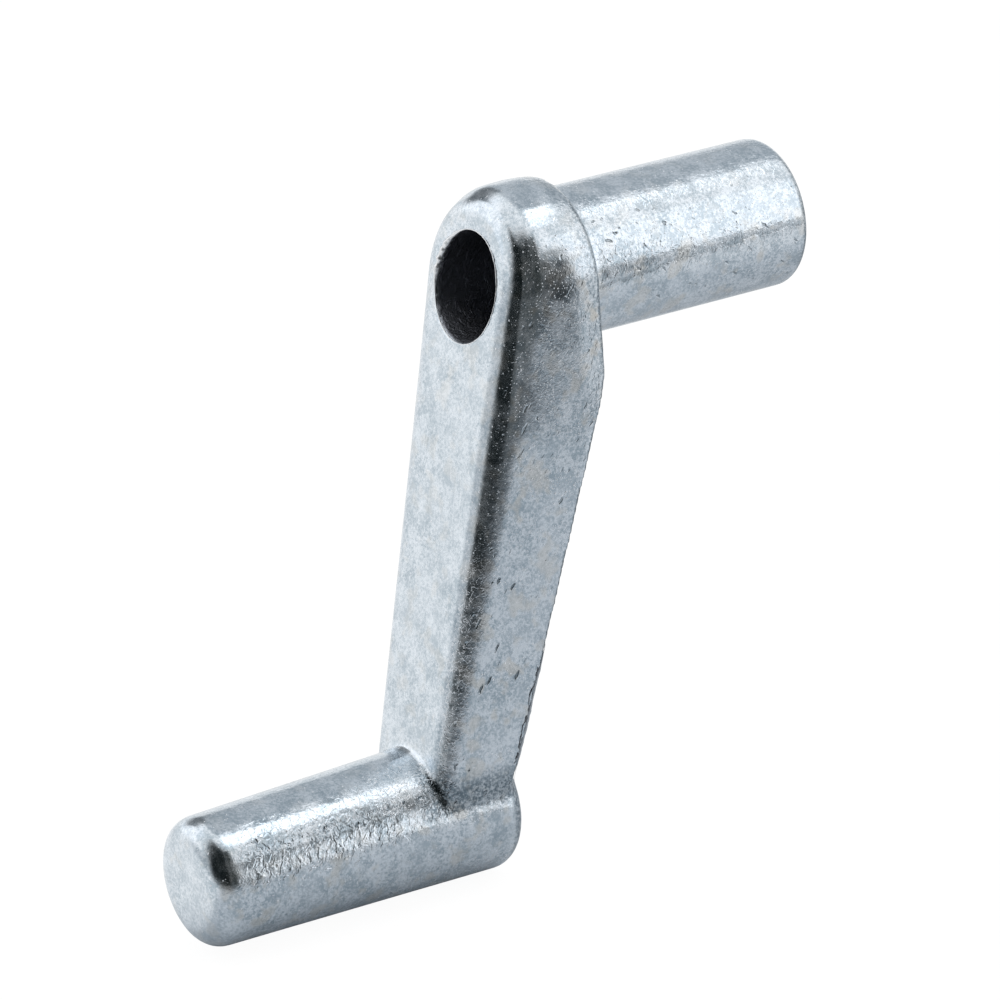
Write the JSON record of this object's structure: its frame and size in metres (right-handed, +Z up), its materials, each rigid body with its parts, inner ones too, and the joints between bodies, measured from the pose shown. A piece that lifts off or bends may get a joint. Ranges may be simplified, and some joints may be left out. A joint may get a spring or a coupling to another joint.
{
  "type": "crank handle",
  "caption": "Small die-cast crank handle: a sloping arm between a hollow drive shaft with a recessed screw hole and a plain round grip.",
  "frame": {"origin": "centre of the shaft's free end, where the hexagonal drive socket opens", "axes": "+Y along the shaft and out of the drive socket, +Z up from the grip towards the hub, +X across the arm; the arm hangs towards -Z and the grip sticks out towards -Y"},
  "size_m": [0.0156, 0.0615, 0.0575],
  "materials": {
    "casting": "as-cast zinc alloy, dull satin, grey and mottled"
  },
  "bodies": {
    "root": {"crank_handle": "casting"}
  },
  "joints": []
}
